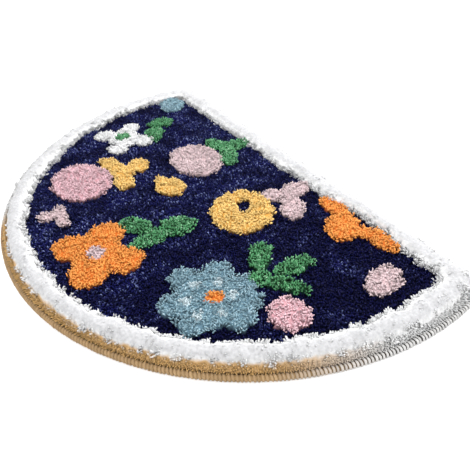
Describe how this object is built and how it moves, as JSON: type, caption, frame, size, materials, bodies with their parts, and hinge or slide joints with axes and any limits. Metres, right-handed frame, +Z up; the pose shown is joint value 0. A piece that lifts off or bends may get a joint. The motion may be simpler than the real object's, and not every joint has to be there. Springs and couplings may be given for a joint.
{
  "type": "half-moon tufted rug",
  "caption": "Half-moon deep-pile rug with a navy field, raised flower and leaf motifs, a thick white border and an overlocked edge.",
  "frame": {"origin": "on the floor, under the middle of the rug's box", "axes": "+Z up out of the pile, +Y towards the straight edge, +X along the straight edge"},
  "size_m": [0.8, 0.5, 0.0292],
  "materials": {
    "navy_pile": "soft glossy cut pile",
    "white_pile": "deep fluffy pile",
    "motif_pile": "curly raised pile in several colours",
    "binding_yarn": "whipped matt yarn",
    "backing_cloth": "plain woven cloth"
  },
  "bodies": {
    "root": {"tufted_rug": "navy_pile", "overlock_binding": "binding_yarn"}
  },
  "joints": []
}
